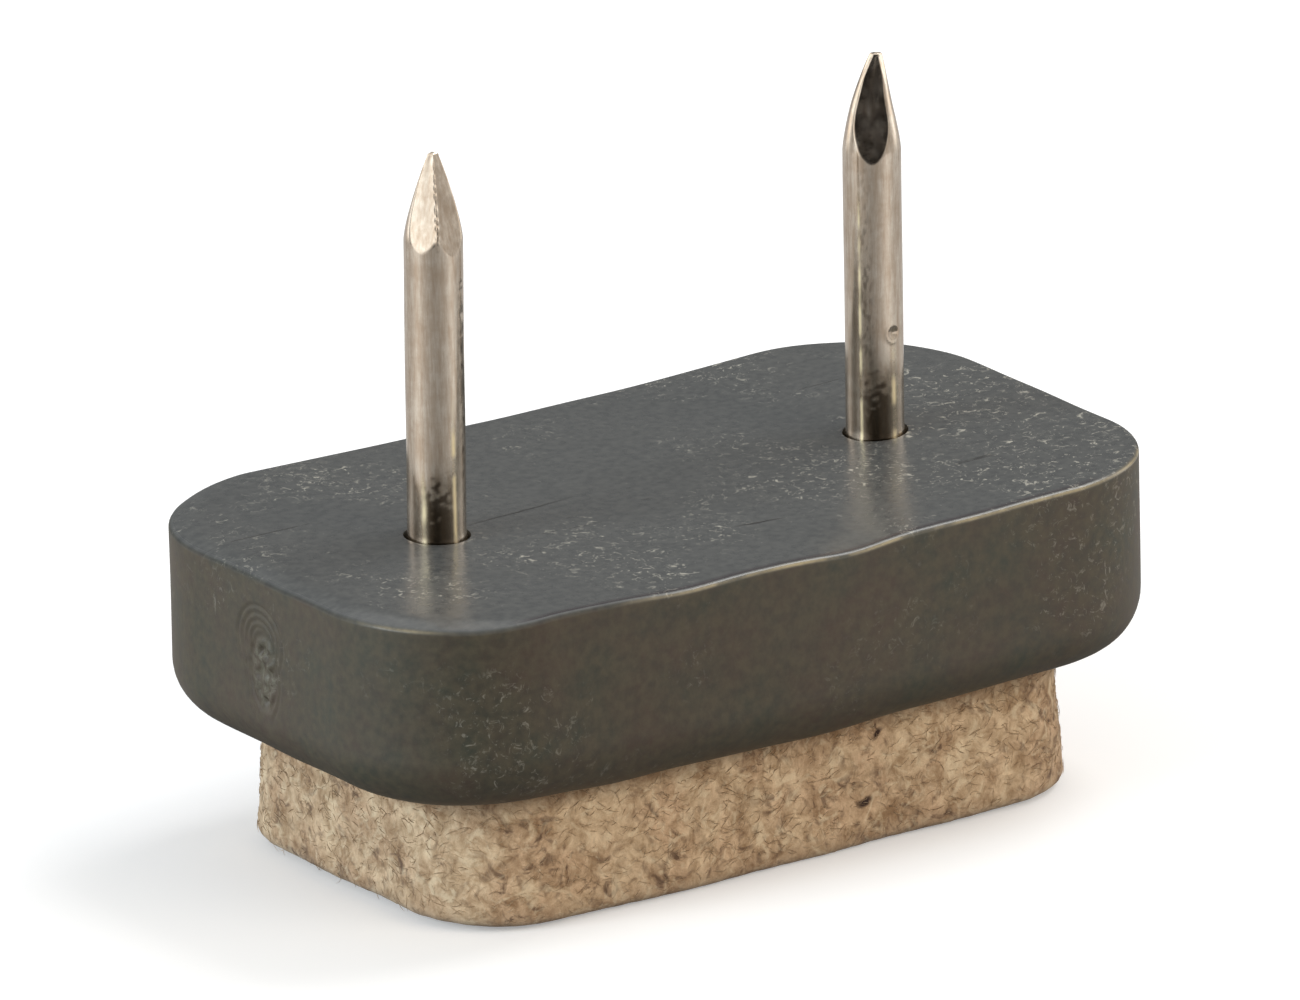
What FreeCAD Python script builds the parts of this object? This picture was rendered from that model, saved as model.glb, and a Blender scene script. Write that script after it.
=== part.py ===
"""Nail-on furniture glide: a moulded foot with a thick felt sole and two nails that drive into a leg.

Millimetres. The origin is the centre of the felt sole, on the floor. +X runs along the glide, through
both nails, and +Z points up along the nails, into the leg.
"""
import FreeCAD
import Part
import Sketcher
import os

V = FreeCAD.Vector

SIZES = {
    # Moulded plastic foot: a rounded slab whose flat top bears on the end of the leg.
    "foot_length": 35.0,
    "foot_width": 20.6,
    "foot_height": 7.5,
    "foot_corner": 5.9,
    "underside_round": 2.1,
    "top_round": 0.35,
    # Recess in the underside that holds the felt.
    "recess_length": 28.3,
    "recess_width": 15.9,
    "recess_corner": 3.7,
    "recess_depth": 3.0,
    # Nails: the reach is how far the tip stands above the foot.
    "nail_spacing": 19.7,
    "nail_diameter": 2.2,
    "nail_reach": 14.6,
    "neck_diameter": 3.0,
    "head_diameter": 4.8,
    "head_height": 1.0,
    "head_edge": 0.15,
    "head_clearance": 0.1,
    "mouth_chamfer": 0.15,
    # Pinched nail points. Each length runs down the axis, from where the flats would meet in a sharp
    # point to where that surface reaches the full width of the shank.
    "tip_blunt": 0.45,
    "ridge_length": 3.3,
    "broad_flat_length": 4.3,
    "slim_flat_length": 3.9,
    # Degrees that each nail is turned about its own axis.
    "left_turn": 31.0,
    "right_turn": 54.0,
    # Felt: a thick block that fills the recess and spreads a little below it.
    "felt_exposed": 5.25,
    "felt_clearance": 0.05,
    "felt_flare": 0.36,
    "felt_edge": 0.4,
    # Mark of the moulding gate on one end: a shallow round step and the torn oval below its middle.
    # The heights are from the underside of the foot.
    "gate_diameter": 2.9,
    "gate_depth": 0.12,
    "gate_height": 4.9,
    "scar_width": 1.3,
    "scar_length": 2.6,
    "scar_corner": 0.6,
    "scar_depth": 0.3,
    "scar_height": 3.6,
}


def make_sheet(doc):
    """Put every driving size in a sheet, one named cell each."""
    sheet = doc.addObject("Spreadsheet::Sheet", "Sizes")
    for row, (name, value) in enumerate(SIZES.items(), start=1):
        sheet.set(f"A{row}", name)
        sheet.set(f"B{row}", str(value))
        sheet.setAlias(f"B{row}", name)
    doc.recompute()


def make_body(doc, label, x="0", z="0"):
    """An empty body whose own origin stands at x and z in the glide."""
    body = doc.addObject("PartDesign::Body", label)
    body.Label = label
    body.setExpression("Placement.Base.x", x)
    body.setExpression("Placement.Base.z", z)
    return body


def origin_part(body, role):
    """One of the body's own origin planes or axes."""
    return next(part for part in body.Origin.OriginFeatures if part.Role == role)


def make_sketch(body, name, plane, **offset):
    """An empty sketch on an origin plane, moved along the sketch's own axes by the offset formulas."""
    sketch = body.newObject("Sketcher::SketchObject", name)
    sketch.AttachmentSupport = [(origin_part(body, plane), "")]
    sketch.MapMode = "FlatFace"
    for axis, formula in offset.items():
        sketch.setExpression(f"AttachmentOffset.Base.{axis}", formula)
    return sketch


def dimension(sketch, name, formula, kind, *where):
    """Add a named dimension, drawn at 1 mm, and bind it to a formula."""
    index = sketch.addConstraint(Sketcher.Constraint(kind, *where, 1.0))
    sketch.renameConstraint(index, name)
    sketch.setExpression(f"Constraints.{name}", formula)


def draw_rounded_rectangle(sketch, length, width, corner):
    """A rectangle with round corners about the sketch's origin, roughed out at 2 by 2 mm, then dimensioned."""
    corners = [V(0.5, -0.5), V(0.5, 0.5), V(-0.5, 0.5), V(-0.5, -0.5)]
    outward = [V(0, -0.5), V(0.5, 0), V(0, 0.5), V(-0.5, 0)]
    sides = [
        sketch.addGeometry(Part.LineSegment(corners[i - 1] + outward[i], corners[i] + outward[i]))
        for i in range(4)
    ]
    quarter = 1.5707963267948966
    arcs = [
        sketch.addGeometry(
            Part.ArcOfCircle(Part.Circle(corners[i], V(0, 0, 1), 0.5), (i - 1) * quarter, i * quarter)
        )
        for i in range(4)
    ]
    for i in range(4):
        sketch.addConstraint(Sketcher.Constraint("Tangent", sides[i], 2, arcs[i], 1))
        sketch.addConstraint(Sketcher.Constraint("Tangent", arcs[i], 2, sides[(i + 1) % 4], 1))
        sketch.addConstraint(Sketcher.Constraint("Vertical" if i % 2 else "Horizontal", sides[i]))
    for arc in arcs[1:]:
        sketch.addConstraint(Sketcher.Constraint("Equal", arcs[0], arc))
    sketch.addConstraint(Sketcher.Constraint("Symmetric", arcs[3], 3, arcs[1], 3, -1, 1))
    dimension(sketch, "corner", corner, "Radius", arcs[0])
    dimension(sketch, "length", length, "DistanceX", sides[3], 1, sides[1], 1)
    dimension(sketch, "width", width, "DistanceY", sides[0], 1, sides[2], 1)


def draw_polygon(sketch, corners):
    """A closed outline whose corners are formula pairs; None puts a corner on the sketch's axis."""
    count = len(corners)
    rough = [V(1 + i, 1 + i * i) for i in range(count)]
    lines = [
        sketch.addGeometry(Part.LineSegment(rough[i], rough[(i + 1) % count])) for i in range(count)
    ]
    for i, (x, y) in enumerate(corners):
        sketch.addConstraint(Sketcher.Constraint("Coincident", lines[i - 1], 2, lines[i], 1))
        if x is None:
            sketch.addConstraint(Sketcher.Constraint("PointOnObject", lines[i], 1, -2))
        else:
            dimension(sketch, f"x{i}", x, "DistanceX", -1, 1, lines[i], 1)
        if y is None:
            sketch.addConstraint(Sketcher.Constraint("PointOnObject", lines[i], 1, -1))
        else:
            dimension(sketch, f"y{i}", y, "DistanceY", -1, 1, lines[i], 1)


def draw_circle(sketch, diameter):
    """A circle about the sketch's origin."""
    circle = sketch.addGeometry(Part.Circle(V(0, 0, 0), V(0, 0, 1), 0.5))
    sketch.addConstraint(Sketcher.Constraint("Coincident", circle, 3, -1, 1))
    dimension(sketch, "diameter", diameter, "Diameter", circle)


def cut(body, kind, name, sketch, **settings):
    """Add a cutting feature and make sure that it takes material away."""
    doc = body.Document
    doc.recompute()
    before = body.Shape.Volume
    feature = body.newObject(kind, name)
    feature.Profile = sketch
    for key, value in settings.items():
        setattr(feature, key, value)
    doc.recompute()
    if body.Shape.Volume > before - 1e-4:
        raise RuntimeError(f"{name} cut nothing from {body.Label}")
    return feature


def round_edges(body, name, height, radius):
    """Round the edges of the body that lie flat at a height, in the body's own frame."""
    body.Document.recompute()
    base = body.Tip
    edges = [
        f"Edge{i}"
        for i, edge in enumerate(base.Shape.Edges, start=1)
        if all(abs(vertex.Z - height) < 1e-6 for vertex in edge.Vertexes)
    ]
    fillet = body.newObject("PartDesign::Fillet", name)
    fillet.Base = (base, edges)
    fillet.setExpression("Radius", radius)


def make_foot(doc):
    """The moulded foot, from a rounded slab: the felt's recess, two nail seats and the gate mark."""
    foot = make_body(doc, "moulded_foot", z="Sizes.felt_exposed")

    plan = make_sketch(foot, "foot_plan", "XY_Plane")
    draw_rounded_rectangle(plan, "Sizes.foot_length", "Sizes.foot_width", "Sizes.foot_corner")
    slab = foot.newObject("PartDesign::Pad", "foot_slab")
    slab.Profile = plan
    slab.setExpression("Length", "Sizes.foot_height")
    round_edges(foot, "underside_edge", 0.0, "Sizes.underside_round")
    round_edges(foot, "top_edge", SIZES["foot_height"], "Sizes.top_round")

    recess = make_sketch(foot, "recess_plan", "XY_Plane")
    draw_rounded_rectangle(recess, "Sizes.recess_length", "Sizes.recess_width", "Sizes.recess_corner")
    pocket = cut(foot, "PartDesign::Pocket", "felt_recess", recess, Reversed=True)
    pocket.setExpression("Length", "Sizes.recess_depth")

    # A seat for the nail's head, the tapered bore of its neck and a small chamfer round the mouth,
    # turned about the nail's axis and mirrored to the other end.
    seat = make_sketch(foot, "seat_profile", "XZ_Plane", x="Sizes.nail_spacing / 2")
    seat_radius = "Sizes.head_diameter / 2 + Sizes.head_clearance"
    head_top = "Sizes.recess_depth + Sizes.head_height"
    neck_slope = (
        "(Sizes.neck_diameter - Sizes.nail_diameter) / 2"
        " / (Sizes.foot_height - Sizes.recess_depth - Sizes.head_height)"
    )
    mouth_radius = "Sizes.nail_diameter / 2 + Sizes.mouth_chamfer"
    draw_polygon(seat, [
        (None, None),
        (seat_radius, None),
        (seat_radius, head_top),
        ("Sizes.neck_diameter / 2", head_top),
        (
            f"Sizes.nail_diameter / 2 + Sizes.mouth_chamfer * {neck_slope}",
            "Sizes.foot_height - Sizes.mouth_chamfer",
        ),
        (mouth_radius, "Sizes.foot_height"),
        (mouth_radius, "Sizes.foot_height + Sizes.nail_diameter"),
        (None, "Sizes.foot_height + Sizes.nail_diameter"),
    ])
    groove = cut(foot, "PartDesign::Groove", "nail_seat", seat, ReferenceAxis=(seat, ["V_Axis"]))
    mirror = foot.newObject("PartDesign::Mirrored", "nail_seats")
    mirror.Originals = [groove]
    mirror.MirrorPlane = (origin_part(foot, "YZ_Plane"), [""])
    foot.Tip = mirror

    gate = make_sketch(foot, "gate_circle", "YZ_Plane", y="Sizes.gate_height", z="-Sizes.foot_length / 2")
    draw_circle(gate, "Sizes.gate_diameter")
    step = cut(foot, "PartDesign::Pocket", "gate_step", gate, Reversed=True)
    step.setExpression("Length", "Sizes.gate_depth")

    scar = make_sketch(foot, "scar_outline", "YZ_Plane", y="Sizes.scar_height", z="-Sizes.foot_length / 2")
    draw_rounded_rectangle(scar, "Sizes.scar_width", "Sizes.scar_length", "Sizes.scar_corner")
    tear = cut(foot, "PartDesign::Pocket", "gate_scar", scar, Reversed=True)
    tear.setExpression("Length", "Sizes.scar_depth")
    return foot


def make_flats(nail, name, plane, apex, length):
    """Cut two opposite flats that would meet on the axis at the apex, each a straight wedge."""
    wedge = make_sketch(nail, f"{name}_wedge", plane)
    draw_polygon(wedge, [
        (None, apex),
        ("Sizes.nail_diameter", f"{apex} - 2 * {length}"),
        ("Sizes.nail_diameter", apex),
    ])
    flat = cut(nail, "PartDesign::Pocket", f"{name}_flat", wedge, Type="ThroughAll", SideType="Symmetric")
    pair = nail.newObject("PartDesign::PolarPattern", f"{name}_flats")
    pair.Originals = [flat]
    pair.Axis = (origin_part(nail, "Z_Axis"), [""])
    pair.Angle = 360
    pair.Occurrences = 2
    nail.Tip = pair


def make_nail(doc, label, x, turn):
    """A nail from the underside of its head: head, tapered neck, shank and a point pinched on four sides."""
    nail = make_body(doc, label, x=x, z="Sizes.felt_exposed + Sizes.recess_depth")
    nail.setExpression("Placement.Rotation.Angle", f"{turn} * 1 deg")

    foot_top = "(Sizes.foot_height - Sizes.recess_depth)"
    tip = f"({foot_top} + Sizes.nail_reach)"
    apex = f"({tip} + Sizes.tip_blunt)"
    radius = "Sizes.nail_diameter / 2"
    head_radius = "Sizes.head_diameter / 2"
    profile = make_sketch(nail, f"{label}_profile", "XZ_Plane")
    draw_polygon(profile, [
        (None, None),
        (f"{head_radius} - Sizes.head_edge", None),
        (head_radius, "Sizes.head_edge"),
        (head_radius, "Sizes.head_height"),
        ("Sizes.neck_diameter / 2", "Sizes.head_height"),
        (radius, foot_top),
        (radius, f"{apex} - Sizes.ridge_length"),
        (f"{radius} * Sizes.tip_blunt / Sizes.ridge_length", tip),
        (None, tip),
    ])
    blank = nail.newObject("PartDesign::Revolution", f"{label}_blank")
    blank.Profile = profile
    blank.ReferenceAxis = (profile, ["V_Axis"])
    make_flats(nail, f"{label}_broad", "XZ_Plane", apex, "Sizes.broad_flat_length")
    make_flats(nail, f"{label}_slim", "YZ_Plane", apex, "Sizes.slim_flat_length")
    return nail


def make_felt(doc):
    """The felt block: straight inside the recess, spreading below it, with a soft lower edge."""
    felt = make_body(doc, "felt_sole")
    plan = make_sketch(felt, "felt_plan", "XY_Plane", z="Sizes.felt_exposed")
    draw_rounded_rectangle(
        plan,
        "Sizes.recess_length - 2 * Sizes.felt_clearance",
        "Sizes.recess_width - 2 * Sizes.felt_clearance",
        "Sizes.recess_corner - Sizes.felt_clearance",
    )
    block = felt.newObject("PartDesign::Pad", "felt_block")
    block.Profile = plan
    block.SideType = "Two sides"
    block.setExpression("Length", "Sizes.recess_depth")
    block.setExpression("Length2", "Sizes.felt_exposed")
    block.setExpression("TaperAngle2", "atan(Sizes.felt_flare / Sizes.felt_exposed)")
    round_edges(felt, "sole_edge", 0.0, "Sizes.felt_edge")
    return felt


def write_parts(doc, bodies):
    """Check every object of the document, then write one file per piece."""
    doc.recompute()
    for item in doc.Objects:
        if "Invalid" in item.State or "Error" in item.State:
            raise RuntimeError(f"{item.Label} failed: {item.State}")
    for body in bodies:
        if body.Shape.isNull() or not body.Shape.isValid():
            raise RuntimeError(f"{body.Label} has no sound shape")
    os.makedirs("parts", exist_ok=True)
    for body in bodies:
        body.Shape.exportStep(f"parts/{body.Label}.step")
        box = body.Shape.optimalBoundingBox(False, False)
        print(
            f"{body.Label}: {body.Shape.Volume:.2f} mm3,"
            f" x {box.XMin:.2f} to {box.XMax:.2f},"
            f" y {box.YMin:.2f} to {box.YMax:.2f},"
            f" z {box.ZMin:.2f} to {box.ZMax:.2f}"
        )


doc = FreeCAD.newDocument("furniture_glide")
make_sheet(doc)
write_parts(doc, [
    make_foot(doc),
    make_nail(doc, "left_nail", "-Sizes.nail_spacing / 2", "Sizes.left_turn"),
    make_nail(doc, "right_nail", "Sizes.nail_spacing / 2", "Sizes.right_turn"),
    make_felt(doc),
])
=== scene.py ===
# %% [markdown]
# # A nail-on furniture glide
# This is the small foot that is hammered into the end of a chair or table leg: a moulded plastic slab with two
# plated nails standing on it and a thick felt sole pressed into its underside. The solid model is loaded first
# and stays as it is. Every piece below is a finer skin for one of its solids, in the same place.

import bmesh
import bpy
import numpy as np
from mathutils import Matrix


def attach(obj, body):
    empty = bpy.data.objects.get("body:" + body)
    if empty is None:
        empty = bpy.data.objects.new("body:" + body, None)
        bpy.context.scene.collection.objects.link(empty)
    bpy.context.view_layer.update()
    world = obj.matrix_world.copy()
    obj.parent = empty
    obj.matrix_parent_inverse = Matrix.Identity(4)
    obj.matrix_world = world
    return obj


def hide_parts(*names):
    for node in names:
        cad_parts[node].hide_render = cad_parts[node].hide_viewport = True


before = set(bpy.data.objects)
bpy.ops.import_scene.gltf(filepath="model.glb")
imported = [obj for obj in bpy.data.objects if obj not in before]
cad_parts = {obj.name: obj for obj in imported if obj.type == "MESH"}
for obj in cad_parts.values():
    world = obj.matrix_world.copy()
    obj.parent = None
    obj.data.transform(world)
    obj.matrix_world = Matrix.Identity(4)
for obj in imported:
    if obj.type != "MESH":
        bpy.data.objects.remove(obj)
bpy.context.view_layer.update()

# %% [markdown]
# ## Sizes that are used again
# The solid model was drawn to these sizes, in millimetres. They are written once, and every skin takes them from
# here. x runs along the foot through both nails, y across it and z up from the floor, and a half size is measured
# from the middle. The top edge has a smaller round here than in the solids, as the real edge is crisper.

# %% Name the sizes
MM = 0.001
FOOT_X, FOOT_Y, FOOT_CORNER = 17.5, 10.3, 5.9
RECESS_X, RECESS_Y, RECESS_CORNER = 14.15, 7.95, 3.7
FELT_X, FELT_Y, FELT_CORNER, FELT_FLARE = 14.1, 7.9, 3.65, 0.34
TOP, UNDERSIDE, RECESS_FLOOR, HEAD_TOP, TIP = 12.75, 5.25, 8.25, 9.25, 27.35
TOP_ROUND, LOWER_ROUND = 0.2, 2.1
NAIL_X, WIRE, HOLE_SHIFT = 9.85, 1.1, 0.1
print("foot", 2 * FOOT_X, "by", 2 * FOOT_Y, "mm, nail tips at", TIP, "mm")

# %% [markdown]
# ## The camera
# A long lens far away flattens the picture, as in a product photograph. The view is from the left front corner,
# a little above the nails' feet. The place comes from where corners of the foot fall in the photograph: the turn
# round the object, the height angle, a slight roll of the camera, pixels per millimetre, the distance in
# millimetres, and the pixel where the middle of the sole falls. A camera matrix holds the picture's right, up and
# backward directions as its columns, so no aiming constraint is needed.

# %% Place the camera
PICTURE_WIDTH, PICTURE_HEIGHT, SENSOR = 1300, 1000, 36.0
turn, rise, roll = np.radians([-34.2567, 18.6192, 1.2669])
scale, distance = 26.9144, 744.6268
origin_x, origin_y = 662.5554, 805.119
picture_right = np.array([np.cos(turn), np.sin(turn), 0.0])
forward = np.array([-np.sin(turn) * np.cos(rise), np.cos(turn) * np.cos(rise), -np.sin(rise)])
picture_up = np.cross(picture_right, forward)
right = np.cos(roll) * picture_right - np.sin(roll) * picture_up
up = np.sin(roll) * picture_right + np.cos(roll) * picture_up
origin_right = (origin_x - PICTURE_WIDTH / 2) / scale
origin_up = -(origin_y - PICTURE_HEIGHT / 2) / scale
eye = -(origin_right * right + origin_up * up + distance * forward) * MM

lens = bpy.data.cameras.new("product_camera")
lens.sensor_fit, lens.sensor_width = "HORIZONTAL", SENSOR
lens.lens = scale * distance * SENSOR / PICTURE_WIDTH
lens.clip_start, lens.clip_end = 0.01, 20.0
camera = bpy.data.objects.new("product_camera", lens)
bpy.context.scene.collection.objects.link(camera)
pose = np.eye(4)
pose[:3, 0], pose[:3, 1], pose[:3, 2], pose[:3, 3] = right, up, -forward, eye
camera.matrix_world = Matrix(pose.tolist())
bpy.context.scene.camera = camera
print("camera at", np.round(eye, 4), "lens", round(lens.lens, 1), "mm")

# %% [markdown]
# ## From arrays to a mesh
# Each piece is worked out as whole arrays of points in millimetres. A grid of points becomes a grid of four-sided
# faces, and a ring that shrinks to one spot closes a pole. Welding points that fall together closes the seams, and
# after that Blender can turn every face outwards. A soft random field made of sine waves gives the small
# unevenness that every moulded, pressed or drawn surface has.

# %% Helpers for grids
def grid_faces(rows, columns, start=0, wrap=True):
    """Four-sided faces between neighbouring rows and columns of points numbered row by row; wrap joins the last
    column to the first."""
    row = np.arange(rows - 1)[:, None] * columns
    column = np.arange(columns if wrap else columns - 1)[None, :]
    after = (column + 1) % columns
    corners = np.broadcast_arrays(row + column, row + after, row + columns + after, row + columns + column)
    return np.stack(corners, -1).reshape(-1, 4) + start


def uneven(points, size, seed, waves=28):
    """A soft random height near -1 to 1: a sum of sine waves of random direction and phase, about size mm long."""
    rng = np.random.default_rng(seed)
    way = rng.normal(size=(3, waves))
    way *= 2 * np.pi / size * rng.uniform(0.6, 1.5, waves) / np.linalg.norm(way, axis=0)
    return np.sin(points @ way + rng.uniform(0, 2 * np.pi, waves)).sum(-1) * np.sqrt(2 / waves)


def bell(value, middle, width):
    """A smooth hump, 1 at the middle and fading to nothing over about two widths."""
    return np.exp(-(((value - middle) / width) ** 2))


def make_piece(name, points, faces, node=None, tones=None, weld=True):
    """Puts points in mm and faces into a smooth, closed mesh that rides on the body; each piece is given its one
    material later. tones are named numbers for each point, which a material can read."""
    mesh = bpy.data.meshes.new(name)
    mesh.from_pydata((points * MM).tolist(), [], faces if isinstance(faces, list) else faces.tolist())
    for label, values in (tones or {}).items():
        mesh.attributes.new(label, "FLOAT", "POINT").data.foreach_set("value", np.asarray(values, np.float32))
    shell = bmesh.new()
    shell.from_mesh(mesh)
    if weld:
        bmesh.ops.remove_doubles(shell, verts=shell.verts, dist=2e-6)
    bmesh.ops.recalc_face_normals(shell, faces=shell.faces)
    open_edges = sum(not edge.is_manifold for edge in shell.edges)
    shell.to_mesh(mesh)
    shell.free()
    mesh.polygons.foreach_set("use_smooth", np.ones(len(mesh.polygons), bool))
    piece = bpy.data.objects.new(name, mesh)
    bpy.context.scene.collection.objects.link(piece)
    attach(piece, "root")
    if node:
        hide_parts(node)
    print(name, len(mesh.vertices), "points", len(mesh.polygons), "faces", open_edges, "open edges")
    return piece


# %% [markdown]
# ## The moulded foot
# The foot is one injection moulding: a rounded rectangle with a small round on its top edge, a generous one below,
# a recess for the felt and a stepped hole for each nail. A cube with bevels could give the slab, but holes in a
# bevelled cube leave pinched faces. Here each half of the slab is unrolled instead: one grid runs down the outside
# and into the recess, and one runs from the rim across the top, down the nail hole and out across the recess floor.

# %% One half of a rounded outline
def half_outline(half_x, half_y, corner, end_steps, side):
    """From the middle of the near side round one end to the middle of the far side: straight, quarter circle,
    straight, quarter circle, straight. Returns the points and the outward direction at each."""
    run, bend = np.linspace(0, 1, 36), np.linspace(0, np.pi / 2, 24)[1:]
    flat_x, flat_y = half_x - corner, half_y - corner
    x = np.r_[run * flat_x, flat_x + corner * np.sin(bend), np.full(len(end_steps) - 1, half_x),
              flat_x + corner * np.cos(bend), (1 - run[1:]) * flat_x]
    y = np.r_[np.full(36, -half_y), -flat_y - corner * np.cos(bend), end_steps[1:] * flat_y,
              flat_y + corner * np.sin(bend), np.full(35, half_y)]
    out_x = np.r_[np.zeros(36), np.sin(bend), np.ones(len(end_steps) - 1), np.cos(bend), np.zeros(35)]
    out_y = np.r_[-np.ones(36), -np.cos(bend), np.zeros(len(end_steps) - 1), np.sin(bend), np.ones(35)]
    return np.stack([side * x, y], -1), np.stack([side * out_x, out_y], -1)


# %% Both halves of the foot
def lift(flat, height):
    """Adds a height to points in plan, as a third coordinate; height may be one number for each row."""
    flat = np.asarray(flat)
    return np.concatenate([flat, np.broadcast_to(np.reshape(height, (-1, 1, 1)), flat.shape[:-1] + (1,))], -1)


def foot_half(side, end_steps):
    """The outside grid (top round, wall, underside round, underside, recess wall) and the inside grid (rim to nail
    hole across the top, down the stepped hole, and back out across the recess floor) of one half."""
    rim, out = half_outline(FOOT_X, FOOT_Y, FOOT_CORNER, end_steps, side)
    mouth, _ = half_outline(RECESS_X, RECESS_Y, RECESS_CORNER, end_steps, side)
    arc = np.linspace(0, np.pi / 2, 15)
    wall_top, gate_top, wall_foot = TOP - TOP_ROUND, 11.85, UNDERSIDE + LOWER_ROUND
    inset = np.r_[TOP_ROUND * (1 - np.sin(arc[::2])), np.zeros(71), LOWER_ROUND * (1 - np.cos(arc[1:]))]
    height = np.r_[wall_top + TOP_ROUND * np.cos(arc[::2]), np.linspace(wall_top, gate_top, 5)[1:],
                   np.linspace(gate_top, wall_foot, 68)[1:], wall_foot - LOWER_ROUND * np.sin(arc[1:])]
    outside = lift(rim - inset[:, None, None] * out, height)
    across = np.linspace(0, 1, 8)[1:, None, None]
    underside = lift((1 - across) * (rim - LOWER_ROUND * out) + across * mouth, UNDERSIDE)
    depth = np.linspace(UNDERSIDE, RECESS_FLOOR, 9)[1:]
    recess = lift(np.broadcast_to(mouth, (8,) + mouth.shape), depth)
    outside = np.concatenate([outside, underside, recess])

    middle = np.linspace(1, -1, 62)[1:-1, None]
    rim_loop = np.concatenate([rim - TOP_ROUND * out, middle * [0, FOOT_Y - TOP_ROUND]])
    floor_loop = np.concatenate([mouth, middle * [0, RECESS_Y]])
    centre = np.array([side * NAIL_X + HOLE_SHIFT, 0.0])
    rim_angle = np.unwrap(np.arctan2(*(rim_loop - centre).T[::-1]))
    floor_angle = np.unwrap(np.arctan2(*(floor_loop - centre).T[::-1]))
    radius = np.array([1.26, 1.245, 1.235, 1.23, 1.23, 1.34, 1.53, 2.0, 2.45, 2.45, 2.45])
    level = np.array([TOP, 12.745, 12.72, 12.5, 12.0, 10.8, 9.5, 9.5, 9.5, 8.9, RECESS_FLOOR])
    blend = np.linspace(0, 1, len(radius))[:, None]
    angle = (1 - blend) * rim_angle + blend * floor_angle
    bore = lift(centre + radius[:, None, None] * np.stack([np.cos(angle), np.sin(angle)], -1), level)
    inward = np.linspace(0, 1, 30)[:-1, None, None]
    top = lift((1 - inward) * rim_loop + inward * bore[0, :, :2], TOP)
    outward = np.linspace(0, 1, 16)[1:, None, None]
    floor = lift((1 - outward) * bore[-1, :, :2] + outward * floor_loop, RECESS_FLOOR)
    inside = np.concatenate([top, bore, floor])
    return outside, inside


even_end = np.linspace(-1, 1, 28)
gate_end = np.unique(np.r_[even_end, np.linspace(-0.42, 0.42, 62)])
grids = [*foot_half(1, even_end), *foot_half(-1, gate_end)]
foot_points = np.concatenate([grid.reshape(-1, 3) for grid in grids])
starts = np.cumsum([0] + [grid.shape[0] * grid.shape[1] for grid in grids])
foot_faces = np.concatenate([grid_faces(grid.shape[0], grid.shape[1], start, wrap=index % 2 == 1)
                             for index, (grid, start) in enumerate(zip(grids, starts))])
print("foot grids:", [grid.shape[:2] for grid in grids])

# %% [markdown]
# ### Sag, rim and gate
# A thick moulding shrinks as it cools, so its long faces are never quite straight: this one dips a fraction of a
# millimetre between the nails, and its near top edge waves. The left end carries the gate, the spot where the hot
# plastic came in: a few fine rings, and a torn oval below them. All of it is in the points, so that the edges and
# reflections bend as they do on the real foot. The mesh also carries numbers for the material: where the skin is
# torn, which face is the top, which part of the top edge is smoother and carries a painted highlight and which is
# dulled, where a painted shade line runs just inside the near top edge, and where it was rubbed.

# %% Shape the foot
def sag(points):
    """How far the moulding dips, in mm: two wide humps along the far side and two along the near side, blended
    across the width."""
    x, y = points[:, 0], points[:, 1]
    far = -0.20 * bell(x, -2, 7) - 0.175 * bell(x, 6.5, 4.5)
    near = -0.26 * bell(x, -1, 9.5) - 0.04 * bell(x, 8, 4)
    blend = (y + FOOT_Y) / (2 * FOOT_Y)
    return (1 - blend) * near + blend * far


def rim_dents(points):
    """Two shallow dips in the near top edge and two along the near lower edge, each fading away from its edge, and a
    soft roll all along the left end's top edge."""
    x, y, z = points.T
    past_x, past_y = np.abs(x) - (FOOT_X - FOOT_CORNER), np.abs(y) - (FOOT_Y - FOOT_CORNER)
    beyond = np.hypot(np.maximum(past_x, 0), np.maximum(past_y, 0)) + np.minimum(np.maximum(past_x, past_y), 0)
    left_end = np.clip((-x - 11.5) / 3, 0, 1)
    roll_off = -0.2 * left_end * bell(beyond, FOOT_CORNER, 0.55) * bell(z, TOP, 0.9)
    upper = -0.13 * bell(x, -5.8, 2.0) - 0.17 * bell(x, 1.8, 1.7)
    lower = -0.10 * bell(x, -8.3, 1.8) - 0.13 * bell(x, 0.6, 2.6)
    near_edges = upper * bell(y, -FOOT_Y, 2.2) * bell(z, TOP, 1.3)
    near_edges += lower * bell(y, -9, 2.5) * bell(z, UNDERSIDE, 1.6)
    return near_edges + roll_off


def gate_depth(points):
    """Depth of the gate mark on the left end: ring grooves round one centre, strongest above, and a rough torn oval
    below with a pit at its foot. Also returns how torn each point is, from 0 to 1."""
    x, y, z = points.T
    ring = np.hypot(y - 0.2, z - 10.05)
    upper = 0.3 + 0.7 / (1 + np.exp(-(z - 9.7) / 0.25))
    grooves = sum(bell(ring, radius, 0.08) for radius in (1.45, 1.15, 0.86, 0.58)) * upper
    oval = np.hypot((y - 0.05) / 0.72, (z - 8.95) / 1.25)
    torn = 1 / (1 + np.exp((oval - 1) / 0.1))
    rough = uneven(points, 0.5, 5)
    skirt = bell(oval, 1.15, 0.13) + 0.6 * bell(oval, 1.5, 0.1) * (z < 9.2)
    pit = bell(np.hypot(y, z - 7.8), 0, 0.22)
    depth = 0.072 * grooves * (1 - torn) + 0.07 * skirt + torn * (0.04 + 0.05 * rough) + 0.2 * pit
    on_end = (x < 0.5 - FOOT_X) * bell(y, 0, 2.6)
    return depth * on_end, torn * on_end


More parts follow.
